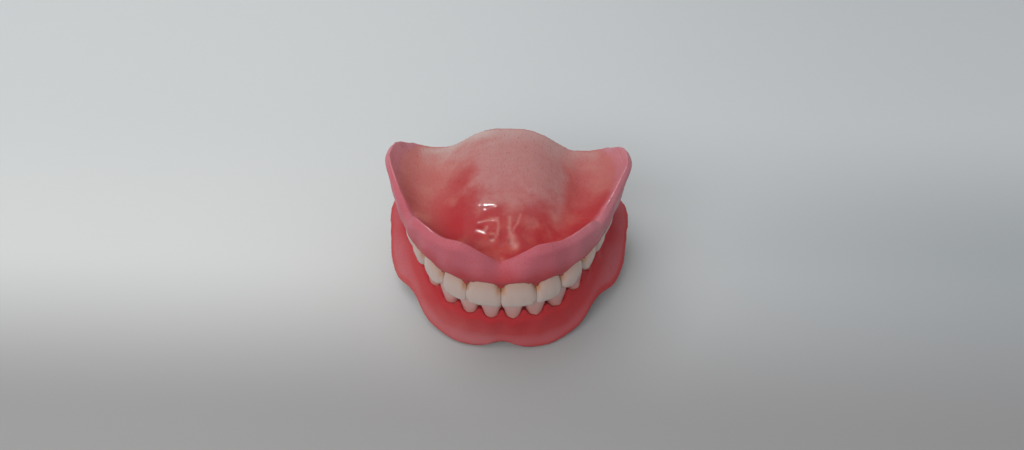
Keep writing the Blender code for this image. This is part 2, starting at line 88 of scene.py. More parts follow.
def edit(piece, *steps):
    """Runs edit-mode operators on the whole of a piece. Each step is an operator and its settings."""
    pick(piece)
    bpy.ops.object.mode_set(mode="EDIT")
    bpy.ops.mesh.select_all(action="SELECT")
    for operator, settings in steps:
        operator(**settings)
    bpy.ops.object.mode_set(mode="OBJECT")


def copy_of(node, name):
    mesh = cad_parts[node].data.copy()
    mesh.materials.clear()
    piece = bpy.data.objects.new(name, mesh)
    bpy.context.scene.collection.objects.link(piece)
    edit(piece, (bpy.ops.mesh.remove_doubles, {"threshold": MERGE}))
    return piece


def finish_with(piece, kind, **settings):
    modifier = piece.modifiers.new(kind.lower(), kind)
    for key, value in settings.items():
        setattr(modifier, key, value)
    pick(piece)
    bpy.ops.object.modifier_apply(modifier=modifier.name)


def corners(mesh):
    flat = np.empty(len(mesh.vertices) * 3, np.float32)
    mesh.vertices.foreach_get("co", flat)
    return flat.reshape(-1, 3).astype(float)


def directions(mesh):
    flat = np.empty(len(mesh.vertices) * 3, np.float32)
    mesh.vertex_normals.foreach_get("vector", flat)
    return flat.reshape(-1, 3).astype(float)


def move_corners(piece, points):
    piece.data.vertices.foreach_set("co", points.astype(np.float32).ravel())
    piece.data.update()


def step(value, low, high):
    """0 below low, 1 above high, and a soft S between them. Low may also be above high."""
    share = np.clip((value - low) / (high - low), 0.0, 1.0)
    return share * share * (3 - 2 * share)


def bump(value, width):
    """1 at zero, and a soft fall to nothing a few widths away."""
    return np.exp(-((value / width) ** 2))


# %% [markdown]
# ## The teeth
#
# A denture tooth is moulded, with soft swellings, a rounded edge and fine grooves. Subdivision
# surfaces round a cage off, but they also shrink it, and the teeth would then stand apart. So the
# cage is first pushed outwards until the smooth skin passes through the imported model's own corners.

# %% Give a tooth a smooth skin through its corners
SKIN_LEVELS = 3
SKIN_ROUNDS = 4
SKIN_STEP = 0.85


def evaluated_corners(piece):
    shown = piece.evaluated_get(bpy.context.evaluated_depsgraph_get())
    points = corners(shown.to_mesh())
    shown.to_mesh_clear()
    return points


def skin_through_corners(piece):
    """Pushes the cage out until its smooth skin reaches the corners that it had at first."""
    targets = corners(piece.data)
    cage = targets.copy()
    skin = piece.modifiers.new("skin", "SUBSURF")
    skin.levels = skin.render_levels = SKIN_LEVELS
    for turn in range(SKIN_ROUNDS):
        reached = evaluated_corners(piece)[: len(targets)]
        cage += SKIN_STEP * (targets - reached)
        move_corners(piece, cage)
    pick(piece)
    bpy.ops.object.modifier_apply(modifier=skin.name)


# %% [markdown]
# Each tooth gets its own axes: along the row, outwards to the lip or cheek, and from its edge to its
# root. The direction along the row is read from its two neighbours.

# %% Find each tooth's own axes
def middle_of(node):
    low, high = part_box(node)
    return (low + high) / 2


def flat_direction(direction):
    """The same direction with its height taken out, and of length 1."""
    flat = direction * Vector((1, 1, 0))
    flat.normalize()
    return flat


def tooth_axes(jaw):
    middles = [middle_of(node) for node in ROWS[jaw]]
    axes = {}
    for index, node in enumerate(ROWS[jaw]):
        before = middles[max(index - 1, 0)]
        after = middles[min(index + 1, len(middles) - 1)]
        along = flat_direction(after - before)
        low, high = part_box(node)
        edge, root = (low.z, high.z) if JAWS[jaw] > 0 else (high.z, low.z)
        axes[node] = {
            "middle": np.array(middles[index]), "along": np.array(along),
            "out": np.array((along.y, -along.x, 0)), "edge": edge, "root": root,
        }
    return axes


def share_down(points, axes):
    """0 at the height of a tooth's biting edge, and 1 at the height of its root's end."""
    return (points[:, 2] - axes["edge"]) / (axes["root"] - axes["edge"])


AXES = {**tooth_axes("upper"), **tooth_axes("lower")}
print("out of the upper left incisor:", np.round(AXES["upper_left_central_incisor"]["out"], 2))

# %% [markdown]
# The fine shape is sculpted by small inward moves of the skin's corners, never outwards, so no tooth
# can grow into its neighbour. Front teeth get two faint upright grooves on the face and a hollow on
# the tongue side. Back teeth get a groove down each side and a sharper cross of grooves on top.
# Depths are in metres. Places along a tooth run from -1 to 1, and places down it from 0 to 1.

# %% Sculpt the fine shape of a tooth
FACING = (0.2, 0.7)
GROOVE_WIDTH = 0.13
FRONT_GROOVE = 0.00007
FRONT_GROOVES_AT = (-0.34, 0.34)
FRONT_GROOVES_END = (0.62, 0.10)
FRONT_HOLLOW = 0.00025
HOLLOW_SIZE = (0.5, 0.16)
HOLLOW_DOWN = 0.34
SIDE_GROOVE = 0.00022
SIDE_GROOVES_END = (0.55, 0.05)
TONGUE_SHARE = 0.7
PREMOLAR_SHARE = 0.35
TOP_FACING = (0.45, 0.8)
TOP_DOWN = (0.30, 0.16)
TOP_GROOVE = 0.00028
TOP_GROOVE_WIDTH = 0.00042
TOP_GROOVE_SWAY = 0.0002
TOP_GROOVE_END = (0.78, 0.55)
MOLAR_CROSSES = (0.05, -0.42)
CROSS_WIDTH = 0.09
CROSS_SLANT = 60
CROSS_SHARE = 0.8


def tooth_places(points, axes):
    """Places on a tooth: along from -1 to 1, out in metres, and down from edge (0) to root (1)."""
    offset = points - axes["middle"]
    along = offset @ axes["along"]
    return along / np.abs(along).max(), offset @ axes["out"], share_down(points, axes)


def front_depth(along, down, face, tongue):
    """How deep the face's two grooves and the hollow behind it go in."""
    grooves = sum(bump(along - at, GROOVE_WIDTH) for at in FRONT_GROOVES_AT)
    grooves *= step(down, *FRONT_GROOVES_END)
    hollow = bump(along, HOLLOW_SIZE[0]) * bump(down - HOLLOW_DOWN, HOLLOW_SIZE[1])
    return FRONT_GROOVE * grooves * face + FRONT_HOLLOW * hollow * tongue


def back_depth(node, along, out, down, face, tongue, top):
    """How deep the grooves down the sides and the cross on top go in."""
    crosses, share = ((0.0,), PREMOLAR_SHARE) if "premolar" in node else (MOLAR_CROSSES, 1.0)
    sides = share * bump(along - crosses[0], GROOVE_WIDTH) * step(down, *SIDE_GROOVES_END)
    lengthwise = bump(out + TOP_GROOVE_SWAY * np.sin(5 * along), TOP_GROOVE_WIDTH)
    lengthwise *= step(np.abs(along), *TOP_GROOVE_END)
    crosswise = sum(bump(along - cross + CROSS_SLANT * out * cross, CROSS_WIDTH) for cross in crosses)
    on_top = top * np.maximum(lengthwise, CROSS_SHARE * crosswise)
    return SIDE_GROOVE * sides * (face + TONGUE_SHARE * tongue) + TOP_GROOVE * on_top


def sculpt_tooth(piece, node):
    """Sculpts a tooth, and returns the places of its corners along it and down it."""
    points = corners(piece.data)
    normals = directions(piece.data)
    axes = AXES[node]
    along, out, down = tooth_places(points, axes)
    face = step(normals @ axes["out"], *FACING)
    tongue = step(-(normals @ axes["out"]), *FACING)
    if "incisor" in node or "canine" in node:
        depth = front_depth(along, down, face, tongue)
    else:
        top = step(np.abs(normals[:, 2]), *TOP_FACING) * step(down, *TOP_DOWN)
        depth = back_depth(node, along, out, down, face, tongue, top)
    move_corners(piece, points - normals * depth[:, None])
    return along, down


# %% [markdown]
# The material needs to know where the neck is, so each tooth carries three numbers on its corners. One
# runs from 0 at the biting edge to 1 at the root. One tells how much of the gum's warmth shines into
# the neck, which is most beside the points of gum between the teeth. The last is a pink glow from the
# gum all round, which the small lower teeth have most of.

# %% Dress all the teeth
NECK = {"upper": (0.38, 0.74), "lower": (0.66, 0.84)}
NECK_SIDES = (0.45, 0.95)
NECK_MIDDLE_SHARE = 0.25
CONTACT_SIDES = (0.62, 0.93)
CONTACT_DOWN = (0.28, 0.50)
# The glow at a tooth's edge, how much more there is at its neck, and where on the way down it grows
GLOW = {"upper": (0.0, 0.10, 0.3, 0.9), "lower": (0.24, 0.38, 0.1, 0.8)}


def store(piece, name, values):
    attribute = piece.data.attributes.new(name, "FLOAT", "POINT")
    attribute.data.foreach_set("value", np.asarray(values, np.float32))


def neck_warmth(jaw, node, along, down):
    """The gum's warmth in the neck, which also fills the upper teeth's contacts."""
    sides = (1 - NECK_MIDDLE_SHARE) * step(np.abs(along), *NECK_SIDES)
    warmth = step(down, *NECK[jaw]) * (NECK_MIDDLE_SHARE + sides)
    if jaw == "upper" and "second_molar" not in node:
        contacts = step(np.abs(along), *CONTACT_SIDES) * step(down, *CONTACT_DOWN)
        warmth = np.maximum(warmth, contacts)
    return warmth


def gum_glow(jaw, down):
    edge, more, low, high = GLOW[jaw]
    return edge + more * step(down, low, high)


teeth = {}
for jaw, row in ROWS.items():
    for node in row:
        tooth = copy_of(node, f"{node}_crown")
        edit(tooth, (bpy.ops.mesh.tris_convert_to_quads, {}))
        skin_through_corners(tooth)
        along, down = sculpt_tooth(tooth, node)
        store(tooth, "down_the_tooth", down)
        store(tooth, "warmth", neck_warmth(jaw, node, along, down))
        store(tooth, "glow", gum_glow(jaw, down))
        tooth.data.shade_smooth()
        teeth[node] = tooth
print("teeth:", len(teeth), "triangles each, about:", 2 * len(tooth.data.polygons))

# %% [markdown]
# Neighbouring teeth touch in a real set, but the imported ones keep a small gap. A ray from each corner
# that faces a neighbour measures that gap, and both teeth then take up half of it, up to a limit.

# %% Let neighbouring teeth touch
CONTACT_GAP = 0.00003
CONTACT_REACH = 0.0008
CONTACT_GROWTH = 0.00016
CONTACT_FACING = (0.35, 0.75)
CONTACT_FROM_EDGE = (0.03, 0.12)
CONTACT_FROM_NECK = (0.85, 0.65)


def surface_of(pieces):
    points, faces, start = [], [], 0
    for piece in pieces:
        points.extend(corners(piece.data).tolist())
        faces.extend([[start + i for i in face.vertices] for face in piece.data.polygons])
        start = len(points)
    return BVHTree.FromPolygons(points, faces)


def growth_towards(piece, axes, tree, ahead):
    """How far each corner moves towards the neighbour whose surface is given."""
    points = corners(piece.data)
    down = share_down(points, axes)
    weight = step(directions(piece.data) @ np.array(ahead), *CONTACT_FACING)
    weight *= step(down, *CONTACT_FROM_EDGE) * step(down, *CONTACT_FROM_NECK)
    growth = np.zeros(len(points))
    for index in np.flatnonzero(weight > 0):
        place, _, _, gap = tree.ray_cast(Vector(points[index]), ahead, CONTACT_REACH)
        if place is not None:
            growth[index] = min(max(gap - CONTACT_GAP, 0.0) / 2, CONTACT_GROWTH)
    return (weight * growth)[:, None] * np.array(ahead)


for row in ROWS.values():
    for first, second in zip(row, row[1:]):
        ahead = flat_direction(Vector(AXES[second]["middle"]) - Vector(AXES[first]["middle"]))
        pair = (first, second, ahead), (second, first, -ahead)
        moves = [growth_towards(teeth[node], AXES[node], surface_of([teeth[other]]), way)
                 for node, other, way in pair]
        for (node, other, way), move in zip(pair, moves):
            move_corners(teeth[node], corners(teeth[node].data) + move)
print("widest contact move of the last pair, mm:", round(1000 * float(np.abs(move).max()), 3))

# %% [markdown]
# ## The bases
#
# A base is one casting: gum, palate and rims run into each other without an edge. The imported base
# has an open socket for each tooth, with a clearance that stands for the bond. Here the roots are
# grown a little and left in, and the whole is remeshed into one closed skin of even small faces. A
# remesh was chosen over rounding the facets one by one, because it also heals the cuts.

# %% Make one closed skin of a base and its roots
GRAIN = 0.00034
ROOT_GROWTH = 0.00026
ROOT_FROM = 0.88


def root_of(node):
    """The buried end of a tooth, grown until it fills its socket."""
    piece = copy_of(node, "root")
    axes = AXES[node]
    height = axes["edge"] + ROOT_FROM * (axes["root"] - axes["edge"])
    down = math.copysign(1, axes["root"] - axes["edge"])
    points = corners(piece.data)
    move_corners(piece, points + directions(piece.data) * ROOT_GROWTH)
    edit(piece, (bpy.ops.mesh.bisect, {
        "plane_co": (0, 0, height), "plane_no": (0, 0, down), "use_fill": True, "clear_inner": True,
    }))
    return piece


def closed_skin(jaw):
    base = copy_of(f"{jaw}_base", f"{jaw}_gum")
    roots = [root_of(node) for node in ROWS[jaw]]
    pick(base, *roots)
    bpy.ops.object.join()
    finish_with(base, "REMESH", mode="VOXEL", voxel_size=GRAIN)
    return base


bases = {jaw: closed_skin(jaw) for jaw in JAWS}
for jaw, base in bases.items():
    print(jaw, "base:", len(base.data.polygons), "faces")

# %% [markdown]
# Plain smoothing shrinks thin rims. Pulling the corners in and pushing them out again by a little
# more, over and over, takes out the steps and the facets and keeps the size.

# %% Smooth a skin without shrinking it
PULL = 0.6
PUSH = 0.62
UPRIGHT_WEIGHT = 0.02
SMOOTH_ROUNDS = 45


def mesh_edges(mesh):
    flat = np.empty(len(mesh.edges) * 2, np.int32)
    mesh.edges.foreach_get("vertices", flat)
    return flat.reshape(-1, 2)


def neighbour_means(values, edges, weights):
    """The mean of each corner's neighbours, where each edge counts by its weight."""
    sums = np.bincount(edges.ravel(), np.repeat(weights, 2), len(values))
    columns = []
    for column in values.T:
        total = np.bincount(edges[:, 0], weights * column[edges[:, 1]], len(values))
        total += np.bincount(edges[:, 1], weights * column[edges[:, 0]], len(values))
        columns.append(total / sums)
    return np.column_stack(columns)


def smooth_skin(piece, rounds, share=None):
    points = corners(piece.data)
    share = np.ones(len(points)) if share is None else share
    edges = mesh_edges(piece.data)
    even = np.ones(len(edges))
    for turn in range(rounds):
        for weight in (PULL, -PUSH):
            points += weight * share[:, None] * (neighbour_means(points, edges, even) - points)
    move_corners(piece, points)


def ease_skin(piece, rounds, share, level=False):
    """Spreads the corners out widely, then gives back the spread of what that took away.

    A level spread runs along the row only, so it flattens pleats and leaves the rolled rims alone.
    """
    points = corners(piece.data)
    edges = mesh_edges(piece.data)
    weights = np.ones(len(edges))
    if level:
        run = points[edges[:, 0]] - points[edges[:, 1]]
        weights = UPRIGHT_WEIGHT + (1 - run[:, 2] ** 2 / np.maximum(np.sum(run**2, axis=1), 1e-12)) ** 2
    eased = points.copy()
    for turn in range(rounds):
        eased += PULL * share[:, None] * (neighbour_means(eased, edges, weights) - eased)
    lost = points - eased
    for turn in range(rounds):
        lost += PULL * share[:, None] * (neighbour_means(lost, edges, weights) - lost)
    move_corners(piece, eased + lost)


for jaw, base in bases.items():
    smooth_skin(base, SMOOTH_ROUNDS)
    print(jaw, "base smoothed, box in mm:", np.round(1000 * np.ptp(corners(base.data), axis=0), 2))

# %% [markdown]
# The folds at the front of the palate are finer than the rest, so the faces that will carry them are
# split in four and eased once more.

# %% Split the faces under the palate's folds
FOLDS_X = (-0.0085, 0.0085)
FOLDS_Y = (-0.0180, -0.0035)
FOLD_ROUNDS = 8
SPLIT_ABOVE = 0.3
FACES_UP = (0.2, 0.4)


def under_folds(x, y):
    return (x > FOLDS_X[0]) & (x < FOLDS_X[1]) & (y > FOLDS_Y[0]) & (y < FOLDS_Y[1])


def split_faces(piece):
    mesh = bmesh.new()
    mesh.from_mesh(piece.data)
    edges = set()
    for face in mesh.faces:
        middle = face.calc_center_median()
        if face.normal.z > SPLIT_ABOVE and under_folds(middle.x, middle.y):
            edges.update(face.edges)
    bmesh.ops.subdivide_edges(mesh, edges=list(edges), cuts=1, use_grid_fill=True)
    mesh.to_mesh(piece.data)
    mesh.free()


split_faces(bases["upper"])
points = corners(bases["upper"].data)
folds = under_folds(points[:, 0], points[:, 1]) * step(directions(bases["upper"].data)[:, 2], *FACES_UP)
smooth_skin(bases["upper"], FOLD_ROUNDS, folds)
print("upper base now:", len(bases["upper"].data.polygons), "faces")

# %% [markdown]
# Now each base closes round its teeth. Corners near a tooth are drawn onto it, fully where they are
# close and less and less further off, so the gum line runs up to the enamel with a soft shoulder.
# Corners as high as the buried roots stay where they are.

# %% Close the gum round the teeth
REACH = (0.00095, 0.00042)
GUM_SEARCH = 0.0016
SINK = 0.00005
BURIED = {"upper": (0.0246, 0.0256), "lower": (0.0098, 0.0088)}


def nearest_on(tree, points, limit):
    """The nearest places on a surface, and how far off they are, below zero from inside it."""
    found = np.zeros_like(points)
    far = np.full(len(points), limit)
    for index, point in enumerate(points):
        place, normal, _, distance = tree.find_nearest(point, limit)
        if place is not None:
            found[index] = place
            inside = (Vector(point) - place).dot(normal) < 0
            far[index] = -distance if inside else distance
    return found, far


def close_gum(jaw):
    base = bases[jaw]
    tree = surface_of([teeth[node] for node in ROWS[jaw]])
    points = corners(base.data)
    found, far = nearest_on(tree, points, GUM_SEARCH)
    outside = np.maximum(far, 1e-6)
    towards = (found - points) / outside[:, None]
    travel = np.minimum(outside + SINK, REACH[1]) * step(outside, *REACH) * (far > 0)
    travel *= 1 - step(points[:, 2], *BURIED[jaw])
    move_corners(base, points + towards * travel[:, None])
    return far


near_teeth = {jaw: close_gum(jaw) for jaw in JAWS}
for jaw, far in near_teeth.items():
    print(jaw, "corners drawn to the teeth:", int(np.sum((far > 0) & (far < REACH[0]))))

# %% [markdown]
# Both bases follow one arch, so a corner's place is told by how far it lies beyond that arch, and its
# side by whether it faces out from it. The polish of the upper rim starts along a line of its own,
# which follows the crest of the rim.

# %% Tell where the arch and the rim run
ARCH_CENTRE_Y = 0.02706
ARCH_HALF_WIDTH = 0.0240
ARCH_DEPTH = 0.0480
ARCH_SQUARENESS = 2.4
# Along the row from the front: y, and how far beyond the arch the upper rim's polish starts
RIM_LINE = (
    (-0.024, 0.0010), (-0.021, 0.0006), (-0.016, 0.0013), (-0.010, 0.0022), (-0.006, 0.0034),
    (0.000, 0.0040), (0.006, 0.0044), (0.012, 0.0044), (0.016, 0.0034), (0.020, 0.0012), (0.023, -0.0006),
)


def out_from_arch(points):
    """The level direction from inside the arch to outside it, at each point."""
    x = points[:, 0]
    ahead = np.maximum(ARCH_CENTRE_Y - points[:, 1], 0.0)
    power = ARCH_SQUARENESS - 1
    out = np.column_stack((
        np.sign(x) * (np.abs(x) / ARCH_HALF_WIDTH) ** power / ARCH_HALF_WIDTH,
        -((ahead / ARCH_DEPTH) ** power) / ARCH_DEPTH,
        np.zeros(len(points)),
    ))
    return out / np.maximum(np.linalg.norm(out, axis=1), 1e-9)[:, None]


def facing_out(points, normals):
    """1 for a corner that faces straight out from the arch, and -1 for one that faces straight in."""
    return np.sum(normals * out_from_arch(points), axis=1)


def beyond_arch(points):
    """How far outside the arch each point lies, and below zero inside it."""
    side = np.abs(points[:, 0])
    ahead = np.maximum(ARCH_CENTRE_Y - points[:, 1], 0.0)
    scale = (side / ARCH_HALF_WIDTH) ** ARCH_SQUARENESS + (ahead / ARCH_DEPTH) ** ARCH_SQUARENESS
    scale = np.maximum(scale, 1e-6) ** (1 / ARCH_SQUARENESS)
    return np.hypot(side, ahead) * (1 - 1 / scale)


def beyond_rim(points):
    """How far outside the line where the polish of the upper rim starts each point lies."""
    return beyond_arch(points) - np.interp(points[:, 1], *zip(*RIM_LINE))


for jaw, base in bases.items():
    furthest = beyond_arch(corners(base.data)).max()
    print(jaw, "base reaches beyond the arch by, mm:", round(1000 * furthest, 1))

# %% [markdown]
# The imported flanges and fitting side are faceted, and pleats run up the flanges from the points of
# gum. Both are spread out widely until none of this shows. The flanges are spread along the row only.

# %% Ease the flanges and the fitting side
FLANGE_ROUNDS = 90
FITTING_ROUNDS = 110
OFF_THE_TEETH = (0.0006, 0.0012)
PAST_GUM_LINE = {"upper": (0.0232, 0.0245), "lower": (0.0112, 0.0100)}
INSIDE_RIM = (0.0, -0.0012)
OFF_REAR_EDGE = (0.0215, 0.0195)
FACES_OUT = (0.0, 0.3)
FACES_FITTING = (0.1, 0.4)


def ease_flanges(jaw):
    """Flattens the pleats that run up the outside of a base from the points of gum."""
    base = bases[jaw]
    points = corners(base.data)
    past_gum_line = step(points[:, 2], *PAST_GUM_LINE[jaw])
    free = np.maximum(step(near_teeth[jaw], *OFF_THE_TEETH), past_gum_line)
    facing = facing_out(points, directions(base.data))
    ease_skin(base, FLANGE_ROUNDS, free * step(facing, *FACES_OUT), level=True)


def ease_fitting_side(base):
    """Rounds the facets of the palate and of the trough round it."""
    points = corners(base.data)
    inside = step(beyond_rim(points), *INSIDE_RIM) * step(points[:, 1], *OFF_REAR_EDGE)
    ease_skin(base, FITTING_ROUNDS, inside * step(directions(base.data)[:, 2], *FACES_FITTING))


ease_flanges("upper")
ease_flanges("lower")
ease_fitting_side(bases["upper"])
print("rounds of easing:", FLANGE_ROUNDS, "on the flanges,", FITTING_ROUNDS, "on the fitting side")

# %% [markdown]
# The gum of a denture is waxed with a soft swelling over each root and a hollow between two of them.
# Each swelling is about as wide as its tooth. It starts at the neck and fades out past the root's end.

# %% Wax the swellings over the roots
SWELLING = 0.00026
SWELLING_WIDTH = 0.55
SWELLING_REACH = (0.011, 0.006)
SWELLING_FROM_NECK = (0.75, 0.95)
SWELLING_PAST_ROOT = (1.75, 1.15)
SWELLING_FACES_OUT = (0.1, 0.5)


def half_width(node):
    """Half of a tooth's size along the row."""
    low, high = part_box(node)
    return 0.5 * sum(abs(size * way) for size, way in zip(high - low, AXES[node]["along"]))


def root_swellings(jaw, points, normals):
    """How far the gum over the roots stands out."""
    swell = np.zeros(len(points))
    for node in ROWS[jaw]:
        axes = AXES[node]
        offset = points - axes["middle"]
        near = step(np.abs(offset @ axes["out"]), *SWELLING_REACH)
        down = share_down(points, axes)
        fade = step(down, *SWELLING_FROM_NECK) * step(down, *SWELLING_PAST_ROOT)
        across = bump(offset @ axes["along"], half_width(node) * SWELLING_WIDTH)
        swell = np.maximum(swell, across * near * fade)
    return SWELLING * swell * step(facing_out(points, normals), *SWELLING_FACES_OUT)


print("half widths of the upper row, mm:", [round(1000 * half_width(node), 1) for node in ROWS["upper"]])

# %% [markdown]
# The fitting side of the palate is a cast of the mouth: short furrows run across it at the front,
# with a dimple on the midline behind the front teeth. Pale painted highlights are laid along the
# crests beside them and along the rim at the front notch. Wear has rubbed the crests beside them pale.

# %% Press in the folds of the palate
PALATE_ABOVE = 0.0285
PALATE_FACES_UP = (0.15, 0.5)
TABLE_HEIGHT = 0.0
# The dimple's depth and middle, and the two ends of its soft edge across and along
PAPILLA = 0.00025
PAPILLA_AT = (0.0003, -0.0145)
PAPILLA_ACROSS = (0.0012, 0.0005)
PAPILLA_ALONG = (0.0025, 0.0010)
# Each furrow's depth and width, and the points that it runs through
FURROWS = (
    (0.00028, 0.00064, ((-0.0056, -0.0054), (-0.0025, -0.0058))),
    (0.00022, 0.00052, ((-0.0043, -0.0070), (-0.0025, -0.0060))),
    (0.00030, 0.00045, ((-0.0056, -0.0105), (-0.0035, -0.0105), (-0.0016, -0.0104))),
    (0.00014, 0.00045, ((-0.0014, -0.0106), (-0.0010, -0.0125), (-0.0013, -0.0142))),
    (0.00055, 0.00055, ((-0.0057, -0.0122), (-0.0039, -0.0131))),
    (0.00060, 0.00062, ((-0.0025, -0.0149), (-0.0021, -0.0149))),
    (0.00060, 0.00072, ((0.0019, -0.0154), (0.0028, -0.0157))),
    (0.00038, 0.00050, ((0.0015, -0.0133), (0.0020, -0.0134))),
    (0.00012, 0.00045, ((0.0015, -0.0114), (0.0017, -0.0131), (0.0021, -0.0150))),
    (0.00016, 0.00040, ((0.0032, -0.0112), (0.0038, -0.0087))),
    (0.00016, 0.00060, ((0.0044, -0.0068), (0.0072, -0.0078))),
    (0.00020, 0.00050, ((0.0050, -0.0120), (0.0074, -0.0106))),
)
# The painted highlights beside the furrows: how pale each is, its width, and the points that it runs
# through
PAINTED_GLINTS = (
    (0.30, 0.00040, ((-0.0056, -0.0051), (-0.0022, -0.0054))),
    (0.42, 0.00034, ((-0.0057, -0.0106), (-0.0036, -0.0104), (-0.0014, -0.0101))),
    (0.26, 0.00034, ((-0.0013, -0.0103), (-0.0011, -0.0125), (-0.0013, -0.0141))),
    (0.45, 0.00044, ((-0.0060, -0.0127), (-0.0049, -0.0130), (-0.0038, -0.0124))),
    (0.28, 0.00028, ((-0.0027, -0.0140), (-0.0019, -0.0140), (-0.0015, -0.0146))),
    (0.50, 0.00040, ((-0.0026, -0.0152), (-0.0021, -0.0150))),
    (0.30, 0.00042, ((0.0014, -0.0096), (0.0015, -0.0124))),
    (0.44, 0.00048, ((0.0014, -0.0124), (0.0019, -0.0144))),
    (0.52, 0.00088, ((0.0021, -0.0147), (0.0029, -0.0165))),
    (0.30, 0.00030, ((0.0038, -0.0087), (0.0032, -0.0112), (0.0022, -0.0132))),
    (0.34, 0.00030, ((0.0006, -0.0214), (0.0030, -0.0212))),
)


def distance_to_line(points, line):
    """How far each point lies from a line of places, seen from above."""
    x, y = points[:, 0], points[:, 1]
    nearest = np.full(len(points), np.inf)
    for (x0, y0), (x1, y1) in zip(line, line[1:]):
        run_x, run_y = x1 - x0, y1 - y0
        share = np.clip(((x - x0) * run_x + (y - y0) * run_y) / (run_x**2 + run_y**2), 0, 1)
        nearest = np.minimum(nearest, np.hypot(x - x0 - share * run_x, y - y0 - share * run_y))
    return nearest


def lines_on_palate(points, normals, lines, start=0.0):
    """The most that any of the lines gives at each corner of the palate."""
    most = np.zeros(len(points)) + start
    for amount, width, line in lines:
        most = np.maximum(most, amount * bump(distance_to_line(points, line), width))
    return step(normals[:, 2], *PALATE_FACES_UP) * (points[:, 2] > PALATE_ABOVE) * most


def papilla(points):
    across = step(np.abs(points[:, 0] - PAPILLA_AT[0]), *PAPILLA_ACROSS)
    return PAPILLA * across * step(np.abs(points[:, 1] - PAPILLA_AT[1]), *PAPILLA_ALONG)


for jaw, base in bases.items():
    points = corners(base.data)
    normals = directions(base.data)
    moves = root_swellings(jaw, points, normals)
    if jaw == "upper":
        moves -= lines_on_palate(points, normals, FURROWS, papilla(points))
    points += normals * moves[:, None]
    points[:, 2] = np.maximum(points[:, 2], TABLE_HEIGHT)
    move_corners(base, points)
    print(jaw, "base, moves in and out, mm:", np.round(1000 * np.array((moves.min(), moves.max())), 2))

# %% [markdown]
# ## What the plastics need to know
#
# Denture plastic is clear enough that its thickness shows: a thin palate or rim looks pale where
# light comes through, and thick gum looks deep red. A ray sent inwards from each corner measures the
# thickness there. The material also reads how near the teeth are, which side was polished and where
# the painted highlights on the crests of the folds lie.

# %% Measure thickness and find the polished side
THICKEST = 0.007
RAY_START = 0.00005
THICKNESS_ROUNDS = 24
POLISH_ROUNDS = 8
POLISH_EDGE = (-0.0006, 0.0002)
# Where a side that faces out, up or down starts to be polished, and where it is polished in full
CHEEK_SIDE_OUT = (-0.85, -0.55)
UNDERSIDE_UP = (0.1, -0.3)
UPRIGHT_OUT = (0.55, 0.8)
UPRIGHT_UP = (-0.6, -0.3)
TOP_SIDE_UP = (-0.25, 0.15)


def thickness(piece, points, normals):
    tree = surface_of([piece])
    depths = np.full(len(points), THICKEST)
    for index, (point, normal) in enumerate(zip(points, normals)):
        start = Vector(point - normal * RAY_START)
        place, _, _, distance = tree.ray_cast(start, Vector(-normal), THICKEST)
        if place is not None:
            depths[index] = distance
    return depths


def polished_side(jaw, points, normals):
    """1 on the sides that face the lips, cheeks and tongue, and 0 on the side that fits the gum."""
    out = facing_out(points, normals)
    if jaw == "upper":
        cheek_side = step(out, *CHEEK_SIDE_OUT) * step(beyond_rim(points), *POLISH_EDGE)
        return np.maximum(cheek_side, step(normals[:, 2], *UNDERSIDE_UP))
    sides = step(np.abs(out), *UPRIGHT_OUT) * step(normals[:, 2], *UPRIGHT_UP)
    return np.maximum(step(normals[:, 2], *TOP_SIDE_UP), sides)


def blurred(values, edges, rounds):
    """The values after they have been averaged with their neighbours' over and over."""
    values = values[:, None]
    for turn in range(rounds):
        values = neighbour_means(values, edges, np.ones(len(edges)))
    return values[:, 0]


for jaw, base in bases.items():
    points = corners(base.data)
    normals = directions(base.data)
    edges = mesh_edges(base.data)
    depths = blurred(thickness(base, points, normals), edges, THICKNESS_ROUNDS)
    store(base, "thickness_mm", depths * 1000)
    store(base, "polished", blurred(polished_side(jaw, points, normals), edges, POLISH_ROUNDS))
    store(base, "from_teeth_mm", near_teeth[jaw] * 1000)
    # Where the painted highlights along the folds' crests lie.
    store(base, "painted_glint", lines_on_palate(points, normals, PAINTED_GLINTS))
    base.data.shade_smooth()
    print(jaw, "thickness, mm:", np.round(np.percentile(depths * 1000, (5, 50, 95)), 2))

# %% [markdown]
# ## The plastics
#
# Shader maths is easier to read as plain expressions. A small class wraps a socket, so that adding or
# multiplying two values adds the Math nodes. Colours are blended by a Mix node, because a Math node
# would turn them grey.

# %% Write node maths as expressions
class Value:
    def __init__(self, sheet, socket):
        self.sheet = sheet
        self.socket = socket

    def join(self, operation, first, second):
        return self.sheet.add("ShaderNodeMath", {"operation": operation}, {0: first, 1: second})

    def __add__(self, other):
        return self.join("ADD", self, other)

    def __sub__(self, other):
        return self.join("SUBTRACT", self, other)

    def __rsub__(self, other):
        return self.join("SUBTRACT", other, self)

    def __mul__(self, other):
        return self.join("MULTIPLY", self, other)

    __radd__ = __add__
    __rmul__ = __mul__


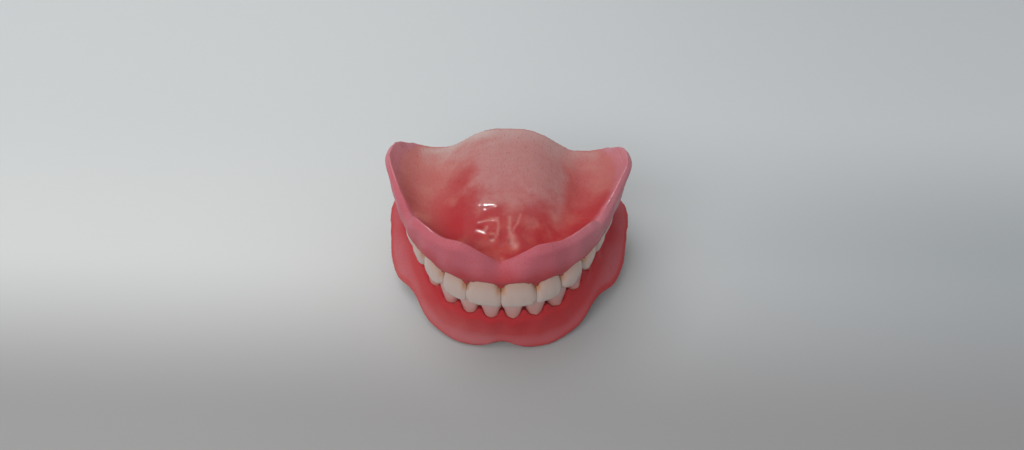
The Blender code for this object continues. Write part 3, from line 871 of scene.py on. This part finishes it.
class Sheet:
    """The node tree of one material."""

    def __init__(self, name):
        self.material = bpy.data.materials.new(name)
        self.material.use_nodes = True
        self.tree = self.material.node_tree
        self.shader = self.tree.nodes["Principled BSDF"]

    def add(self, kind, settings=None, inputs=None, output=0):
        node = self.tree.nodes.new(kind)
        for key, value in (settings or {}).items():
            setattr(node, key, value)
        for key, value in (inputs or {}).items():
            if isinstance(value, Value):
                self.tree.links.new(value.socket, node.inputs[key])
            else:
                node.inputs[key].default_value = value
        return Value(self, node.outputs[output])

    def place(self):
        return self.add("ShaderNodeTexCoord", output="Object")

    def number(self, name):
        return self.add("ShaderNodeAttribute", {"attribute_name": name}, output="Fac")

    def soft_step(self, value, low, high):
        return self.add("ShaderNodeMapRange", {"interpolation_type": "SMOOTHSTEP"},
                        {"Value": value, "From Min": low, "From Max": high})

    def noise(self, place, scale, detail=2.0, roughness=0.5):
        return self.add("ShaderNodeTexNoise", None,
                        {"Vector": place, "Scale": scale, "Detail": detail, "Roughness": roughness})

    def most(self, first, second):
        return self.add("ShaderNodeMath", {"operation": "MAXIMUM"}, {0: first, 1: second})

    def stretched(self, place, turn, scale):
        return self.add("ShaderNodeMapping", None, {"Vector": place, "Rotation": turn, "Scale": scale})

    def blend(self, share, first, second):
        return self.add("ShaderNodeMix", {"data_type": "RGBA"}, {0: share, 6: first, 7: second}, output=2)

    def feed(self, **values):
        for key, value in values.items():
            socket = self.shader.inputs[key.replace("_", " ")]
            if isinstance(value, Value):
                self.tree.links.new(value.socket, socket)
            else:
                socket.default_value = value


# %% [markdown]
# The gum plastic is a clear pink acrylic. On the fitting side, cast against the mouth, thick gum is
# deep red. Towards the back light comes through and turns it pale, most of all at the thin rear
# border, and there more on the -X side, where the light comes from: that extra is painted light. The
# fitting side towards -X is also lifted towards peach as painted light. Across the palate lies a paler
# patch of painted glare, the soft reflection of the room on the rough palate together with light
# through the thin plate. A pair of places says where a colour starts and where it is full, and a
# drift says how far the clouds in the plastic shift such an edge.

# %% Mix the colours of the fitting side
DEEP_RED = (0.39, 0.038, 0.042, 1)
WARM_RED = (0.43, 0.078, 0.068, 1)
WARM_CLOUDS = (0.42, 0.66)
SOFT_PINK = (0.46, 0.190, 0.176, 1)
PINK_SHARE = 0.75
PINK_BACK = (-0.012, 0.022)
PINK_DRIFT = 0.016
# Painted light: the fitting side towards -X, where the light comes from, is lifted towards peach.
PAINTED_LIGHT_PEACH = (0.54, 0.23, 0.20, 1)
PAINTED_LIGHT_PEACH_SHARE = 0.32
PAINTED_LIGHT_PEACH_SIDE = (-0.011, -0.021)
# Painted glare: a paler patch across the palate stands in for the room's soft reflection on the rough
# palate and for light through the thin plate.
GLARE_HAZE = (0.45, 0.225, 0.215, 1)
GLARE_HAZE_SHARE = 0.45
GLARE_HAZE_MOTTLE = 0.7
PATCH_LEFT = (-0.0130, -0.0030)
PATCH_RIGHT = (0.0155, 0.0125)
PATCH_FRONT = (-0.0120, 0.0030)
PATCH_DRIFT = 0.014
SHARPER_RIGHT = 0.4
CLEAR_RIM = (0.50, 0.420, 0.390, 1)
CLEAR_SHARE = 0.35
CLEAR_BACK = (0.0120, 0.0230)
CLEAR_DRIFT = 0.012
CLEAR_THIN_MM = (4.2, 2.4)
# Painted light: the pale rear border grows paler still towards -X, the side the light comes from.
CLEARER_LIT_SIDE = (0.001, -0.009)
CLEARER_LIT_SHARE = 0.4
# Painted highlight: the pale pink laid along the crests of the palate's folds and the front notch's rim.
GLINT_PINK = (0.66, 0.34, 0.29, 1)


def drifting(place, clouds, drift):
    return place + (clouds - 0.5) * drift


def painted_glare_patch(sheet, x, y, clouds):
    """A patch of painted glare, with a soft edge to one side and a sharper one to the other."""
    drift = (clouds - 0.5) * PATCH_DRIFT
    left = sheet.soft_step(x + drift, *PATCH_LEFT)
    right = sheet.soft_step(x + drift * SHARPER_RIGHT, *PATCH_RIGHT)
    return left * right * sheet.soft_step(y + drift, *PATCH_FRONT)


def fitting_colour(sheet, x, y, thick, clouds, mottle):
    colour = sheet.blend(sheet.soft_step(clouds, *WARM_CLOUDS), DEEP_RED, WARM_RED)
    back = sheet.soft_step(drifting(y, clouds, PINK_DRIFT), *PINK_BACK)
    colour = sheet.blend(back * PINK_SHARE, colour, SOFT_PINK)
    # Painted light on the -X side.
    colour = sheet.blend(sheet.soft_step(x, *PAINTED_LIGHT_PEACH_SIDE) * PAINTED_LIGHT_PEACH_SHARE, colour, PAINTED_LIGHT_PEACH)
    # Painted glare across the palate.
    glare = painted_glare_patch(sheet, x, y, clouds) * (GLARE_HAZE_SHARE + mottle * GLARE_HAZE_MOTTLE)
    colour = sheet.blend(glare, colour, GLARE_HAZE)
    border = sheet.soft_step(drifting(y, clouds, CLEAR_DRIFT), *CLEAR_BACK)
    border = border * sheet.soft_step(thick, *CLEAR_THIN_MM)
    # More painted light on the -X side of the rear border.
    clear = CLEAR_SHARE + sheet.soft_step(x, *CLEARER_LIT_SIDE) * CLEARER_LIT_SHARE
    colour = sheet.blend(border * clear, colour, CLEAR_RIM)
    # Painted highlights along the folds' crests.
    return sheet.blend(sheet.number("painted_glint"), colour, GLINT_PINK)


# %% [markdown]
# The sides that face the lips and cheeks are polished. The upper flange is mauve at its rim and
# redder at the teeth; the mauve is partly the plastic's own tone and partly painted sheen, the sky's
# whitish reflection on the polish. The lower one is deep red at the teeth, partly painted shade
# under the upper denture, and grows paler downwards, partly painted light through the thin flange,
# more so on the -X side; the redder +X side is painted shade, away from the light.

# %% Mix the colours of the polished sides
GUM_PINK = (0.41, 0.053, 0.060, 1)
# Partly painted sheen: the mauve towards the upper rim stands in for the sky's whitish reflection on the
# polish.
MAUVE_AND_SHEEN = (0.47, 0.118, 0.147, 1)
MAUVE_RISE = (0.0255, 0.0310)
MAUVE_DRIFT = 0.004
# Painted shade and light on the lower flange: deep red at the teeth, in the upper denture's shade, and
# paler towards the table.
LOW_RED_AND_SHADE = (0.46, 0.034, 0.040, 1)
LOW_PINK_AND_LIGHT = (0.46, 0.100, 0.102, 1)
PALER_DOWN = (0.0115, 0.0010)
PALER_DRIFT = 0.008
# Painted shade: the +X side, away from the light, keeps the lower flange redder.
SHADED_SIDE_LOWER = (-0.004, 0.008)
SHADED_SIDE_LOWER_SHARE = 0.60
BETWEEN_JAWS = (0.0165, 0.0205)


def polished_colour(sheet, x, z, clouds):
    upper = sheet.blend(sheet.soft_step(drifting(z, clouds, MAUVE_DRIFT), *MAUVE_RISE), GUM_PINK, MAUVE_AND_SHEEN)
    pale = sheet.soft_step(drifting(z, clouds, PALER_DRIFT), *PALER_DOWN)
    # Painted shade on the +X side of the lower flange.
    pale = pale * (1 - sheet.soft_step(x, *SHADED_SIDE_LOWER) * SHADED_SIDE_LOWER_SHARE)
    lower = sheet.blend(pale, LOW_RED_AND_SHADE, LOW_PINK_AND_LIGHT)
    return sheet.blend(sheet.soft_step(z, *BETWEEN_JAWS), lower, upper)


# %% [markdown]
# Over these lie the finer changes. Thin polished rims and the far ends of the upper flange are paler,
# the gum is warm close to the upper teeth, and short red fibres lie all ways in the plastic.

# %% Add the thin rims, the warm gum line and the fibres
THIN_MAUVE = (0.48, 0.215, 0.245, 1)
THIN_SHARE = 0.65
THIN_MM = (3.2, 1.4)
REAR_MAUVE = (0.52, 0.27, 0.31, 1)
REAR_SHARE = 0.55
REAR_BACK = (0.003, 0.017)
REAR_SIDE = (0.010, 0.022)
REAR_SIDE_SHARE = 0.6
REAR_RISE = (0.0250, 0.0290)
NECK_ORANGE = (0.50, 0.150, 0.075, 1)
NECK_SHARE = 0.65
NECK_FROM = (0.0195, 0.0212)
NECK_UP_TO = (0.0240, 0.0228)
NECK_MM = (0.9, 0.1)
FIBRE_RED = (0.26, 0.02, 0.04, 1)
FIBRE_SHARE = 0.40
FIBRE_TURNS = (0.0, 1.0, 2.1)
FIBRE_SCALE = (5200, 800, 5200)
FIBRE_EDGE = (0.66, 0.74)


def rear_ends(sheet, x, y, z):
    ends = sheet.most(sheet.soft_step(y, *REAR_BACK), sheet.soft_step(x, *REAR_SIDE) * REAR_SIDE_SHARE)
    return ends * sheet.soft_step(z, *REAR_RISE)


def gum_line(sheet, z):
    line = sheet.soft_step(z, *NECK_FROM) * sheet.soft_step(z, *NECK_UP_TO)
    return sheet.soft_step(sheet.number("from_teeth_mm"), *NECK_MM) * line


def fibres(sheet, place):
    """Short threads that lie all ways in the plastic."""
    threads = None
    for turn in FIBRE_TURNS:
        lie = sheet.stretched(place, (turn, 0.5 * turn, turn), FIBRE_SCALE)
        lines = sheet.soft_step(sheet.noise(lie, 1.0, 1.0), *FIBRE_EDGE)
        threads = lines if threads is None else sheet.most(threads, lines)
    return threads


# %% [markdown]
# The plastic as a whole takes its colour from the side that it is on. The fitting side is matt as
# cast, but the folds at its front were polished by wear, and there the ceiling light glints.

# %% Mix the gum plastic
WORN_LEFT = (-0.0100, -0.0085)
WORN_RIGHT = (0.0085, 0.0065)
WORN_FRONT = (-0.0173, -0.0163)
WORN_BACK = (-0.0030, -0.0046)
POLISH_GLOSS = 0.45
WORN_GLOSS = 0.85
MATT_ROUGHNESS = 0.40
SMOOTHER_POLISHED = 0.06
ROUGHNESS_DRIFT = 0.14
CLOUD_SCALE = 150
MOTTLE_SCALE = 620


def worn_part(sheet, x, y):
    """The part of the palate where wear has polished the folds."""
    across = sheet.soft_step(x, *WORN_LEFT) * sheet.soft_step(x, *WORN_RIGHT)
    return across * sheet.soft_step(y, *WORN_FRONT) * sheet.soft_step(y, *WORN_BACK)


def gum_plastic():
    sheet = Sheet("denture_acrylic")
    place = sheet.place()
    x, y, z = (sheet.add("ShaderNodeSeparateXYZ", None, {0: place}, output=axis) for axis in range(3))
    thick = sheet.number("thickness_mm")
    polished = sheet.number("polished")
    clouds = sheet.noise(place, CLOUD_SCALE, 3.0, 0.5)
    mottle = sheet.noise(place, MOTTLE_SCALE, 3.0, 0.6)
    fitting = fitting_colour(sheet, x, y, thick, clouds, mottle)
    colour = sheet.blend(polished, fitting, polished_colour(sheet, x, z, clouds))
    thin = sheet.soft_step(thick, *THIN_MM) * polished
    colour = sheet.blend(thin * THIN_SHARE, colour, THIN_MAUVE)
    colour = sheet.blend(rear_ends(sheet, x, y, z) * polished * REAR_SHARE, colour, REAR_MAUVE)
    colour = sheet.blend(gum_line(sheet, z) * polished * NECK_SHARE, colour, NECK_ORANGE)
    colour = sheet.blend(fibres(sheet, place) * FIBRE_SHARE, colour, FIBRE_RED)
    worn = (1 - polished) * worn_part(sheet, x, y)
    gloss = sheet.most(polished * POLISH_GLOSS, worn * WORN_GLOSS)
    rough = drifting(MATT_ROUGHNESS - polished * SMOOTHER_POLISHED, clouds, ROUGHNESS_DRIFT)
    grain = sheet.add("ShaderNodeBump", None, {"Height": mottle, "Strength": 0.10, "Distance": 0.0001})
    sheet.feed(Base_Color=colour, Roughness=rough, Normal=grain, IOR=1.49, Specular_IOR_Level=0.0,
               Subsurface_Weight=0.30, Subsurface_Radius=(1.0, 0.35, 0.25), Subsurface_Scale=0.0014,
               Coat_Weight=gloss, Coat_Roughness=0.10)
    print("nodes in the gum plastic:", len(sheet.tree.nodes))
    return sheet.material


gum = gum_plastic()

# %% [markdown]
# Denture teeth are layered: a greyish clear edge, a cream body and a warmer neck, where the pink of
# the gum shines in. The three numbers on each tooth place these layers.

# %% Mix the tooth plastic
CLEAR_EDGE = (0.54, 0.44, 0.40, 1)
CREAM = (0.56, 0.43, 0.38, 1)
WARM_NECK = (0.58, 0.25, 0.10, 1)
GUM_GLOW = (0.55, 0.14, 0.14, 1)
CREAM_FROM_EDGE = (0.02, 0.26)
CREAM_DRIFT = 0.10
WARMTH_SHARE = 0.8
RIPPLE_SCALE = (300, 300, 2600)


def tooth_plastic():
    sheet = Sheet("tooth_acrylic")
    place = sheet.place()
    down = sheet.number("down_the_tooth")
    clouds = sheet.noise(place, 260, 2.0)
    wavy = drifting(down, clouds, CREAM_DRIFT)
    body = sheet.blend(sheet.soft_step(wavy, *CREAM_FROM_EDGE), CLEAR_EDGE, CREAM)
    lit = sheet.blend(sheet.number("glow"), body, GUM_GLOW)
    colour = sheet.blend(sheet.number("warmth") * WARMTH_SHARE, lit, WARM_NECK)
    ripples = sheet.noise(sheet.stretched(place, (0, 0, 0), RIPPLE_SCALE), 1.0, 1.0)
    relief = sheet.add("ShaderNodeBump", None, {"Height": ripples, "Strength": 0.08, "Distance": 0.0001})
    rough = 0.24 + (clouds - 0.5) * 0.12
    sheet.feed(Base_Color=colour, Roughness=rough, Normal=relief, IOR=1.49, Subsurface_Weight=0.25,
               Subsurface_Radius=(1.0, 0.8, 0.6), Subsurface_Scale=0.0012, Coat_Weight=0.3,
               Coat_Roughness=0.08)
    print("nodes in the tooth plastic:", len(sheet.tree.nodes))
    return sheet.material


enamel = tooth_plastic()

# %% [markdown]
# Each dressed tooth and base takes the place of one solid of the part, and tells which plastic it is.

# %% Put every piece on the model
for node, tooth in teeth.items():
    tooth.data.materials.append(enamel)
    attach(tooth, "root")
    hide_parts(node)
for jaw, base in bases.items():
    base.data.materials.append(gum)
    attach(base, "root")
    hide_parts(f"{jaw}_base")
total = sum(sum(len(face.vertices) - 2 for face in piece.data.polygons)
            for piece in (*teeth.values(), *bases.values()))
print("triangles in all:", total)

# %% [markdown]
# ## The table, the light and the camera
#
# The set stands on a pale table, which is lighter on one side and behind. One soft step across it
# and two from front to back give the tones that the photograph shows.

# %% Lay the table
# Painted light and shade on the table: lighter towards -X and behind, darker towards +X and at the near
# edge, in place of the room's light and its reflection.
LIT_SIDE = (0.65, 0.66, 0.65, 1)
SHADED_FAR_SIDE = (0.36, 0.38, 0.395, 1)
FAR_SIDE_ACROSS = (-0.10, 0.16)
SHADED_NEAR_EDGE = (0.27, 0.26, 0.26, 1)
NEAR_EDGE_BACK = (0.01, -0.045)
NEAR_EDGE_SHARE = 0.8
LIT_BEHIND = (0.60, 0.62, 0.63, 1)
BEHIND_BACK = (0.01, 0.08)
BEHIND_SHARE = 0.7

bpy.ops.mesh.primitive_plane_add(size=6, location=(0, 0, 0))
table = bpy.context.object
table.name = "table_top"
table_sheet = Sheet("pale_table")
across, back = (table_sheet.add("ShaderNodeSeparateXYZ", None, {0: table_sheet.place()}, output=axis)
                for axis in range(2))
shade = table_sheet.blend(table_sheet.soft_step(across, *FAR_SIDE_ACROSS), LIT_SIDE, SHADED_FAR_SIDE)
near = table_sheet.soft_step(back, *NEAR_EDGE_BACK) * NEAR_EDGE_SHARE
shade = table_sheet.blend(near, shade, SHADED_NEAR_EDGE)
behind = table_sheet.soft_step(back, *BEHIND_BACK) * BEHIND_SHARE
shade = table_sheet.blend(behind, shade, LIT_BEHIND)
table_sheet.feed(Base_Color=shade, Roughness=0.5, Specular_IOR_Level=0.0)
table.data.materials.append(table_sheet.material)
print("nodes in the table's paint:", len(table_sheet.tree.nodes))

# %% [markdown]
# Broad lamps overhead and behind the camera light the set evenly. They don't show in its gloss, as a
# white ceiling doesn't. A narrow ceiling light far behind does, and gives the small sharp glints in
# the palate.

# %% Light the room
ROOM_TINT = (0.96, 0.98, 1.0, 1)
ROOM_LIGHT = 0.38
SET_MIDDLE = (0, 0, 0.02)
STRIP_AIM = (-0.03, 0.0, 0.02)

world = bpy.data.worlds.new("room")
bpy.context.scene.world = world
world.use_nodes = True
world.node_tree.nodes["Background"].inputs["Color"].default_value = ROOM_TINT
world.node_tree.nodes["Background"].inputs["Strength"].default_value = ROOM_LIGHT


def soft_lamp(name, place, aim, width, height, power, mirrored=False):
    """A broad lamp. One that is mirrored shows in the gloss only, the others everywhere but there."""
    data = bpy.data.lights.new(name, "AREA")
    data.shape = "RECTANGLE"
    data.size, data.size_y = width, height
    data.energy = power
    lamp = bpy.data.objects.new(name, data)
    bpy.context.scene.collection.objects.link(lamp)
    lamp.location = place
    lamp.rotation_euler = (Vector(aim) - Vector(place)).to_track_quat("-Z", "Y").to_euler()
    lamp.visible_glossy = mirrored
    lamp.visible_diffuse = not mirrored
    print("lamp:", name, "power:", power)


soft_lamp("overhead", (-0.35, 0.15, 1.10), SET_MIDDLE, width=1.0, height=0.8, power=5.8)
soft_lamp("behind_camera", (-0.40, -0.90, 0.80), SET_MIDDLE, width=0.9, height=0.6, power=7.2)
soft_lamp("ceiling_strip", (-0.22, 1.70, 1.16), STRIP_AIM, width=0.42, height=0.06, power=40.0,
          mirrored=True)

# %% [markdown]
# The camera stands where the photographer stood: in front, well above, looking down at the teeth.
# Its place and its turn were worked out from the outline of the dentures in the photograph.

# %% Set the camera
TILT = math.radians(43.14)
TURN = math.radians(-2.56)
ROLL = math.radians(0.15)
DISTANCE = 0.2345
AIM = (-0.0015, -0.022668)
FOCAL_PIXELS = 816.2
FRAME_WIDTH = 1024
SENSOR = 36.0

away = Vector((-AIM[0], -DISTANCE * math.cos(TILT) - AIM[1]))
camera_place = Vector((
    away.x * math.cos(TURN) + away.y * math.sin(TURN),
    -away.x * math.sin(TURN) + away.y * math.cos(TURN),
    DISTANCE * math.sin(TILT),
))
looking = Vector((math.cos(TILT) * math.sin(TURN), math.cos(TILT) * math.cos(TURN), -math.sin(TILT)))
above = Vector((math.sin(TILT) * math.sin(TURN), math.sin(TILT) * math.cos(TURN), math.cos(TILT)))
right = looking.cross(above)
upright = above * math.cos(ROLL) + right * math.sin(ROLL)
sideways = right * math.cos(ROLL) - above * math.sin(ROLL)
camera_data = bpy.data.cameras.new("camera")
camera_data.sensor_width = SENSOR
camera_data.lens = FOCAL_PIXELS * SENSOR / FRAME_WIDTH
camera = bpy.data.objects.new("camera", camera_data)
bpy.context.scene.collection.objects.link(camera)
camera.matrix_world = Matrix((sideways, upright, -looking)).transposed().to_4x4()
camera.location = camera_place
bpy.context.scene.camera = camera
bpy.context.scene.view_settings.view_transform = "Standard"
print("camera at, mm:", [round(v * 1000, 1) for v in camera_place], "lens, mm:", round(camera_data.lens, 1))
